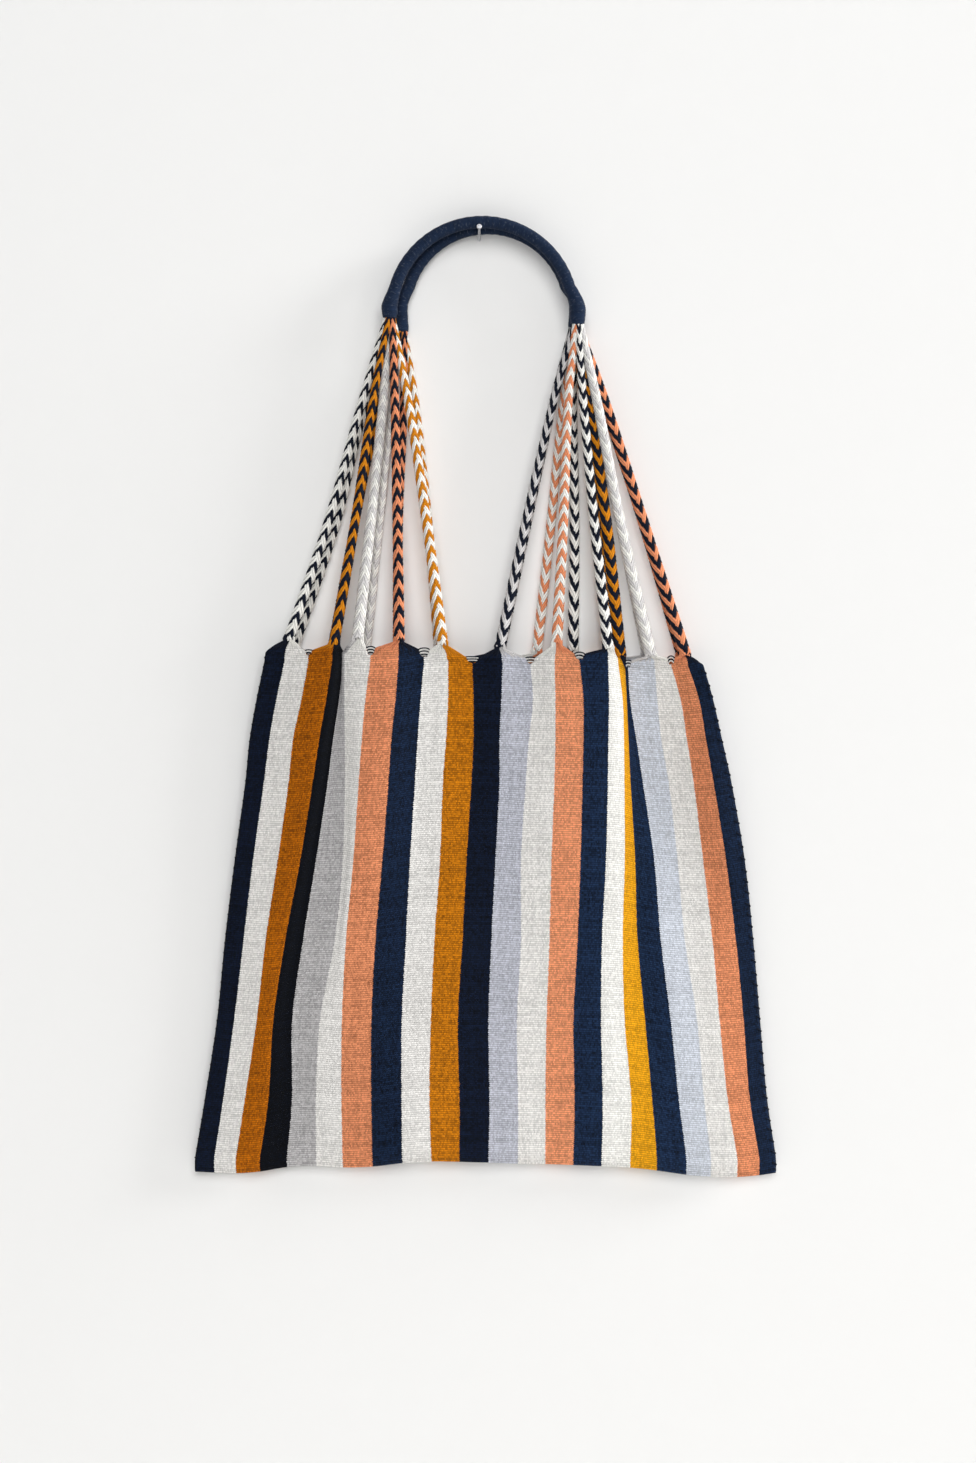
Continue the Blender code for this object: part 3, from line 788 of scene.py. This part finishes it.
# Shares of the braid's radius: where a strand passes the braid's four corners, how far it weaves out and in
# between them, and the half width and half thickness of a strand. Straightness is how far a strand cuts across
# from corner to corner instead of going round.
STRANDS_EACH_WAY = 6
OVER_SHARPNESS = 1.8
CORNER_SHARE = 0.77
WEAVE_SHARE = 0.19
STRAND_HALF_WIDTH = 0.37
STRAND_HALF_THICKNESS = 0.19
STRAIGHTNESS = 0.92
# Under 1, the strands face the braid's flat front and back more than those of a round braid do.
SIDE_FACING = 0.55
# A hand-made braid turns a little unevenly: by how much, over what length, and how many times its own phase.
WANDERS = ((0.22, 31.0, 1), (0.14, 13.0, 2))
# A strand is widest in the middle of its float, and drawn in where it goes under. The braid is a little flat.
DRAWN_IN = 0.5
FLOAT_SWELL = 0.6
UNDER_SWELL = 0.3
FLATNESS = 0.82
# A strand's outline across, of two plies side by side.
TWO_PLIES = np.array(
    ((1.0, 0.0), (0.62, 0.9), (0.0, 0.5), (-0.62, 0.9), (-1.0, 0.0), (-0.6, -0.7), (0.0, -0.8), (0.6, -0.7))
)
FAN_YARNS = 20
FAN_RADIUS = 0.5
FAN_EDGE_RADIUS = 0.42
FAN_START = 0.0
FAN_EDGE_START = 0.25
FAN_SPREAD = 2.3
FAN_REACH = 4.5
FAN_SUNK = 0.5
FAN_TAIL = (0.3, 0.65, 1.0)
FAN_STEPS = 12


def braid_route(plaiting, braid, foot, number):
    """Points (x, depth, z) and radii down a braid, from inside the handle's end to its foot on the cloth."""
    left = number <= BRAIDS_IN_LEFT_END
    leg_x, leg_end = (plaiting.left_x, plaiting.left_end) if left else (plaiting.right_x, plaiting.right_end)
    angle = math.radians(braid.slot_angle)
    slot_x = leg_x + SLOT_RING_RADIUS * math.cos(angle)
    slot_depth = plaiting.depth + SLOT_RING_RADIUS * math.sin(angle)
    top = leg_end - GAP
    forward = plaiting.layer_depth * braid.layer
    high_depth = blend(plaiting.depth, foot.depth, HIGH_SHARE) + forward
    middle_depth = blend(plaiting.depth, foot.depth, MIDDLE_SHARE) + forward * MIDDLE_LAYER_SHARE + braid.forward
    stations = (0.0, top - HIGH_MARK, top - MIDDLE_MARK, top - foot.z - GAP)
    down = np.arange(-SLOT_DEPTH, stations[-1] + BRAID_OVERLAP, plaiting.step)
    x = smooth_value(stations, (slot_x, braid.high_x, braid.middle_x, foot.x), down)
    depth = smooth_value(stations, (slot_depth, high_depth, middle_depth, foot.depth), down)
    radius = smooth_value(stations, plaiting.radii, down) * braid.width
    return np.stack((x, depth, top - down), 1), radius


def plait(bundle, centres, radius, braid, fullness, draw):
    """Strands round a route. The two sets mirror each other, and cross where they go over and under."""
    route = np.stack((centres[:, 0], -centres[:, 1], centres[:, 2]), 1)
    _, side, out = directions(route)
    phase = draw.uniform(0, 2 * math.pi)
    lean = draw.uniform(-0.25, 0.25)
    along = np.concatenate(((0.0,), np.cumsum(np.linalg.norm(np.diff(route, axis=0), axis=1))))
    wander = sum(turn * np.sin(along / length + times * phase) for turn, length, times in WANDERS)
    turned = 4 * math.pi * along / (braid.repeat * STRANDS_EACH_WAY) + phase + wander
    side, out = math.cos(lean) * side + math.sin(lean) * out, math.cos(lean) * out - math.sin(lean) * side
    for way in (1, -1):
        for strand in range(STRANDS_EACH_WAY):
            angle = way * turned + (strand + (way < 0) * 0.5) * 2 * math.pi / STRANDS_EACH_WAY
            over = np.tanh(OVER_SHARPNESS * way * braid.point * np.sin(2 * angle)) / math.tanh(OVER_SHARPNESS)
            across, outward = (
                blend(wave, np.arcsin(np.clip(wave, -1, 1)) * 2 / math.pi, STRAIGHTNESS)
                for wave in (np.cos(angle), np.sin(angle))
            )
            place = across[:, None] * side + outward[:, None] * out * FLATNESS
            radial = across[:, None] * side * SIDE_FACING + outward[:, None] * out
            radial /= np.linalg.norm(radial, axis=1, keepdims=True)
            path = route + (place * CORNER_SHARE + radial * over[:, None] * WEAVE_SHARE) * radius[:, None]
            ahead = np.gradient(path, axis=0)
            ahead /= np.linalg.norm(ahead, axis=1, keepdims=True)
            flat = np.cross(ahead, radial)
            flat /= np.linalg.norm(flat, axis=1, keepdims=True)
            proud = np.cross(flat, ahead)
            full = fullness[strand % 2]
            swell = DRAWN_IN + np.where(over > 0, FLOAT_SWELL, UNDER_SWELL) * np.abs(over) ** 0.8
            swell = swell * (1 + 0.08 * np.sin(along / 2.9 + draw.uniform(0, 6)))
            width = radius * swell * STRAND_HALF_WIDTH * full * draw.uniform(0.88, 1.12)
            thickness = radius * STRAND_HALF_THICKNESS * full * draw.uniform(0.92, 1.12)
            rings = (
                path[:, None]
                + flat[:, None] * (TWO_PLIES[:, 0] * width[:, None])[..., None]
                + proud[:, None] * (TWO_PLIES[:, 1] * thickness[:, None])[..., None]
            )
            bundle.add(rings * MM, strand % 2)


def fan(bundle, panel, pair, draw):
    """Warp yarns that run up over the peak on both faces of the cloth and crowd together into the braid. Those
    along the shoulders are the thickest."""
    number = np.arange(FAN_YARNS)[:, None]
    chance = np.array([[draw.random() for _ in range(5)] for _ in number])[:, :, None]
    share = 0.5 - 0.47 * np.cos(math.pi * (number + blend(0.3, 0.7, chance[:, 0])) / FAN_YARNS)
    at_edge = np.abs(2 * share - 1) ** 3
    start = blend(FAN_START, FAN_EDGE_START, at_edge)
    up = np.linspace(0, 1, FAN_STEPS)
    tail = np.concatenate((np.zeros(FAN_STEPS), FAN_TAIL))
    level = np.concatenate((blend(start, 1.0, up), np.ones((FAN_YARNS, len(FAN_TAIL)))), 1)
    x, depth, z = peak_point(panel, pair, share, level)
    rise = np.clip(level, 0, 1) ** 2
    face = np.where((number % 3 > 0) | (at_edge > 0.5), 1, -1)
    foot = panel[1][pair]
    x = x + blend(-0.9, 0.9, chance[:, 1]) * rise
    x = blend(x, foot.x, tail * 0.5)
    z = z + tail * FAN_REACH
    proud = CLOTH_THICKNESS * 0.5 - FAN_SUNK + rise * blend(0.3, 1.0, chance[:, 2]) * FAN_SPREAD
    depth = depth + face * proud * (1 - 0.6 * tail)
    thickest = (FAN_RADIUS + FAN_EDGE_RADIUS * at_edge) * blend(0.85, 1.15, chance[:, 3])
    size = thickest * blend(0.35, 1.0, np.clip((level - start) / 0.6, 0, 1)) * (1 - 0.3 * tail)
    for yarn, route in enumerate(np.stack((x, depth, z), -1)):
        bundle.add(round_yarn(route, size[yarn]), int(share[yarn, 0] > 0.5))


mustard_yarn = yarn_finish("mustard_yarn", colour(200, 124, 20), pale=0.06)
grey_yarn = yarn_finish("grey_yarn", colour(206, 204, 204), pale=0.0)
coral_yarn = yarn_finish("coral_yarn", colour(222, 140, 100), pale=0.06)
# The two yarns of each pair of stripes, and how full each is in the braid.
BRAID_YARNS = (
    (navy_yarn, white_yarn, 0.80, 1.20),
    (mustard_yarn, navy_yarn, 0.94, 1.0),
    (grey_yarn, white_yarn, 1.02, 1.06),
    (coral_yarn, navy_yarn, 0.98, 0.98),
    (white_yarn, mustard_yarn, 1.08, 0.96),
    (navy_yarn, grey_yarn, 0.94, 1.04),
    (white_yarn, coral_yarn, 1.08, 0.96),
    (navy_yarn, white_yarn, 0.88, 1.12),
    (mustard_yarn, navy_yarn, 0.94, 1.0),
    (grey_yarn, white_yarn, 1.02, 1.06),
    (coral_yarn, navy_yarn, 1.0, 0.96),
)
for plaiting in PLAITINGS:
    _, feet, _ = plaiting.panel
    for number, (braid, foot) in enumerate(zip(plaiting.braids, feet), 1):
        draw = random.Random(f"{plaiting.name} {number}")
        bundle = Bundle()
        centres, radius = braid_route(plaiting, braid, foot, number)
        *yarns, first_fullness, second_fullness = BRAID_YARNS[number - 1]
        plait(bundle, centres, radius, braid, (first_fullness, second_fullness), draw)
        fan(bundle, plaiting.panel, number - 1, draw)
        plaited = bundle.build(f"plait_{plaiting.name}_{number:02d}", yarns)
        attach(plaited, "root")
        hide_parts(f"braid_{plaiting.name}_{number:02d}")


# The handles are cord, wound closely from end to end with navy yarn. Each arches over the nail, and its ends
# swell a little where they take in the ends of the braids.
HANDLE_RADIUS = 4.7
HANDLE_END_RADIUS = 5.3
ARC_END_ANGLE = math.radians(16.6)
ARC_POINTS = 44
SHOULDER_RISE = 7.5
SHOULDER_INSET = 2.2
WRAP_PITCH = 1.05
WRAP_RELIEF = 0.17
RINGS_A_WRAP = 5
HANDLE_SIDES = 16
WRAP_SLACK = 0.12
# How far up from the cut end, and how full the end is there.
END_ROUNDING = ((0.0, 0.72), (0.7, 0.93), (2.0, 1.0))
Leg = namedtuple("Leg", "x knob end")
Handle = namedtuple("Handle", "name depth middle top arc_radius knob_radius left right")
HANDLES = (
    Handle("front", 16.3, 2.3, 9.4, 67.2, 6.1, Leg(-66.4, -52.6, -62.3), Leg(72.9, -54.0, -67.4)),
    Handle("back", 5.4, 6.2, 7.5, 61.5, 4.7, Leg(-57.9, -50.0, -70.4), Leg(71.5, -49.5, -67.0)),
)


def leg_points(leg, side, knob_radius):
    """Points (x, z, radius) up one leg of a handle: its end, its knob, and its shoulder below the arc."""
    return [
        *((leg.x, leg.end + up, HANDLE_END_RADIUS * share) for up, share in END_ROUNDING),
        (leg.x, blend(leg.end, leg.knob, 0.4), blend(HANDLE_END_RADIUS, knob_radius, 0.75)),
        (leg.x, leg.knob, knob_radius),
        (leg.x - side * SHOULDER_INSET, leg.knob + SHOULDER_RISE, blend(knob_radius, HANDLE_RADIUS, 0.65)),
    ]


def handle_route(handle):
    """Points (x, z, radius) along a handle, from its left end over the nail to its right end."""
    centre = handle.top - handle.arc_radius
    arc = []
    for k in range(ARC_POINTS + 1):
        angle = blend(math.pi - ARC_END_ANGLE, ARC_END_ANGLE, k / ARC_POINTS)
        x = handle.middle + handle.arc_radius * math.cos(angle)
        arc.append((x, centre + handle.arc_radius * math.sin(angle), HANDLE_RADIUS))
    left = leg_points(handle.left, -1, handle.knob_radius)
    right = leg_points(handle.right, 1, handle.knob_radius)
    return np.array(left + arc + right[::-1])


def wrapped_finish():
    """Navy yarn seen across its turns: fine fibres run along each turn, and painted shade darkens the
    grooves between turns.
    """
    cotton = Finish("wrapped_navy_yarn", Specular_IOR_Level=0.10, Sheen_Weight=0.05, Sheen_Roughness=0.5)
    around, along = cotton.place("yarn")
    wrap = along / (WRAP_PITCH * MM) - around
    crown = (wrap.fraction() * math.pi).sine()
    each_turn = cotton.chance(wrap.floor(), 1.0)
    fibre = cotton.cloud(around * 30.0, wrap * 3.0, detail=3.0)
    patch = cotton.cloud(around * 6.0, along * 420.0, 4.0)
    # Painted shade: darker in the grooves between turns.
    tone = 0.3 + crown * 0.3 + each_turn * 0.2 + fibre * 0.45 + patch * 0.5
    lint = cotton.cloud(around * 11.0, wrap * 0.7, 6.0).over(0.55, 0.75)
    cotton.set("Base Color", cotton.tinted(colour(25, 38, 60), tone).mixed(colour(150, 156, 170), lint * 0.16))
    cotton.set("Roughness", 0.88 + fibre * 0.08)
    cotton.relief(crown * 0.5 + fibre * 0.8, 0.0003, 0.8)
    return cotton.material


wrapped_yarn = wrapped_finish()
for handle in HANDLES:
    corners = handle_route(handle)
    lengths = np.concatenate(((0.0,), np.cumsum(np.linalg.norm(np.diff(corners[:, :2], axis=0), axis=1))))
    count = round(lengths[-1] / WRAP_PITCH * RINGS_A_WRAP)
    along = np.linspace(0, lengths[-1], count)
    x, z, radius = (smooth_value(lengths, corners[:, k], along) for k in range(3))
    turn = np.linspace(0, 2 * math.pi, HANDLE_SIDES, endpoint=False)
    lie = along / WRAP_PITCH
    crown = np.abs(np.sin(math.pi * (lie[:, None] - turn[None] / (2 * math.pi))))
    slack = WRAP_SLACK * np.sin(along * 0.9)[:, None] * np.cos(turn + along[:, None] * 0.05)
    size = radius[:, None] - WRAP_RELIEF + 2 * WRAP_RELIEF * (crown - 0.5) + slack
    route = np.stack((x, np.full_like(x, -handle.depth), z), 1)
    forward = np.gradient(route, axis=0)
    forward /= np.linalg.norm(forward, axis=1, keepdims=True)
    out = np.array((0.0, -1.0, 0.0))
    side = np.cross(out, forward)
    ring = np.cos(turn)[None, :, None] * side[:, None] + np.sin(turn)[None, :, None] * out
    bundle = Bundle()
    bundle.add((route[:, None] + ring * size[..., None]) * MM)
    wrapped = bundle.build(f"wrapped_handle_{handle.name}", [wrapped_yarn])
    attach(wrapped, "root")
    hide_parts(f"handle_{handle.name}")


# The nail is a small one of drawn steel wire with a flat head, plated with zinc and a little scuffed. It is
# driven into the wall, and both handles hang over it. It keeps its solid.
zinc = Finish("zinc_plating", Metallic=1.0)
place = zinc.node("ShaderNodeTexCoord", output=3)
scuffs = zinc.node("ShaderNodeTexNoise", None, {"Vector": place, "Scale": 900.0, "Detail": 4.0})
zinc.set("Base Color", zinc.mixed(colour(182, 182, 186), colour(122, 122, 126), scuffs.over(0.45, 0.75)))
zinc.set("Roughness", 0.4 + scuffs * 0.3)
zinc.relief(scuffs, 0.0001, 0.5)
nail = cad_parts["nail"]
nail.data.materials.clear()
nail.data.materials.append(zinc.material)


# The room: a pale plastered wall that the nail is in, which can be looked through from behind, a pale floor,
# a broad soft light from the front, a window at the right close to the wall, and the camera straight in front.
CAMERA_PLACE = (0.0065, -1.55, -0.3686)
CAMERA_LENS = 50.86
WALL_HALF = 3.0
WALL_Y = 0.0004
FLOOR_Z = -1.25
Lamp = namedtuple("Lamp", "name place aim size watts colour")
LAMPS = (
    Lamp("front", (0.395, -4.514, 1.713), (0.0, 0.0, -0.4), 4.0, 179.0, (1.0, 1.0, 1.0)),
    Lamp("window", (6.25, -0.9, 2.56), (0.0, 0.0, -0.4), 2.4, 470.0, (1.0, 0.998, 0.99)),
    Lamp("behind", (-1.6, 3.0, 0.6), (0.0, 0.0, -0.4), 2.0, 60.0, (0.98, 0.99, 1.0)),
)
AIR_COLOUR = (0.97, 0.975, 1.0, 1.0)
AIR_STRENGTH = 0.06


def plain_sheet(name, corners, material):
    mesh = bpy.data.meshes.new(name)
    mesh.from_pydata(corners, [], [(0, 1, 2, 3)])
    sheet = make_object(name, mesh, [material])
    return sheet


plaster = Finish("pale_plaster", Roughness=0.9, Base_Color=(0.87, 0.87, 0.865, 1.0))
clear = plaster.node("ShaderNodeBsdfTransparent")
behind = plaster.node("ShaderNodeNewGeometry", output=6)
front = Shade(plaster, plaster.shader.outputs[0])
seen = plaster.node("ShaderNodeMixShader", None, {0: behind, 1: front, 2: clear})
plaster.tree.links.new(seen.socket, plaster.tree.nodes["Material Output"].inputs["Surface"])
wall_corners = [
    (x * WALL_HALF, WALL_Y, FLOOR_Z + height)
    for x, height in ((-1, 0.0), (1, 0.0), (1, 2 * WALL_HALF), (-1, 2 * WALL_HALF))
]
wall = plain_sheet("wall", wall_corners, plaster.material)
wall.visible_shadow = False
boards = Finish("pale_floor", Roughness=0.7, Base_Color=(0.74, 0.73, 0.71, 1.0))
floor_corners = [(x * WALL_HALF, y * WALL_HALF, FLOOR_Z) for x, y in ((-1, -1), (1, -1), (1, 1), (-1, 1))]
plain_sheet("floor", floor_corners, boards.material)

for lamp in LAMPS:
    light = bpy.data.lights.new(lamp.name, "AREA")
    light.shape = "DISK"
    light.size = lamp.size
    light.energy = lamp.watts
    light.color = lamp.colour
    item = bpy.data.objects.new(lamp.name, light)
    item.location = lamp.place
    item.rotation_euler = (Vector(lamp.aim) - Vector(lamp.place)).to_track_quat("-Z", "Y").to_euler()
    bpy.context.scene.collection.objects.link(item)

air = bpy.data.worlds.new("air")
air.use_nodes = True
air.node_tree.nodes["Background"].inputs["Color"].default_value = AIR_COLOUR
air.node_tree.nodes["Background"].inputs["Strength"].default_value = AIR_STRENGTH
bpy.context.scene.world = air
bpy.context.scene.view_settings.view_transform = "Standard"

lens = bpy.data.cameras.new("viewer")
lens.lens = CAMERA_LENS
viewer = bpy.data.objects.new("viewer", lens)
viewer.location = CAMERA_PLACE
viewer.rotation_euler = (math.pi / 2, 0.0, 0.0)
bpy.context.scene.collection.objects.link(viewer)
bpy.context.scene.camera = viewer
